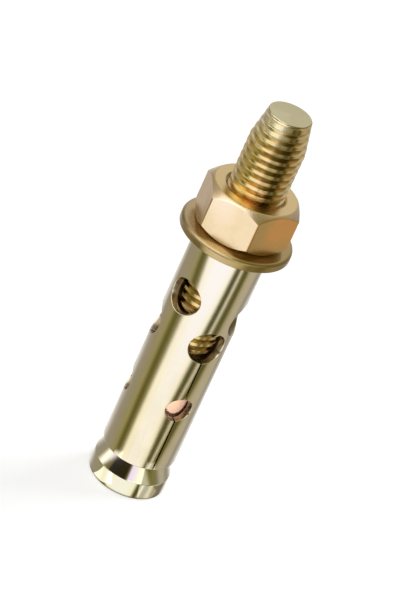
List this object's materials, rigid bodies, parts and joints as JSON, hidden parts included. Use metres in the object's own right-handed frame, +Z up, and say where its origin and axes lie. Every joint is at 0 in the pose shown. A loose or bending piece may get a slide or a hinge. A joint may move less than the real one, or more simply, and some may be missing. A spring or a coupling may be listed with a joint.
{
  "type": "sleeve anchor",
  "caption": "Steel sleeve anchor with a cone-ended threaded stud, a slit perforated sleeve, a flat washer and a hex nut, yellow zinc plated",
  "frame": {"origin": "centre of the stud's flat foot, under the cone, on the ground plane", "axes": "+Z runs up the stud from the cone to the threaded end; -Y faces the camera; +X is to the camera's right"},
  "size_m": [0.024, 0.024, 0.093],
  "materials": {
    "yellow_zinc_stud": "yellow zinc plating, satin",
    "yellow_zinc_sleeve": "yellow zinc plating, bright",
    "yellow_zinc_washer": "yellow zinc plating, satin",
    "yellow_zinc_nut": "yellow zinc plating, satin"
  },
  "bodies": {
    "stud": {"cone_stud": "yellow_zinc_stud"},
    "sleeve": {"expansion_sleeve": "yellow_zinc_sleeve"},
    "washer": {"flat_washer": "yellow_zinc_washer"},
    "nut": {"hex_nut": "yellow_zinc_nut"}
  },
  "joints": [
    {"name": "sleeve_slide", "type": "slide", "parent": "stud", "child": "sleeve", "axis": [0, 0, 1], "range_m": [0, 0.0175]},
    {"name": "washer_turn", "type": "hinge", "parent": "sleeve", "child": "washer", "pos_m": [0, 0, 0.0636], "axis": [0, 0, 1], "continuous": true},
    {"name": "nut_turn", "type": "hinge", "parent": "sleeve", "child": "nut", "pos_m": [0, 0, 0.0696], "axis": [0, 0, 1], "range_deg": [0, 3600]}
  ],
  "couplings": [
    {"joint": "nut_turn", "follows": "sleeve_slide", "rad_per_m": 3590.4}
  ]
}
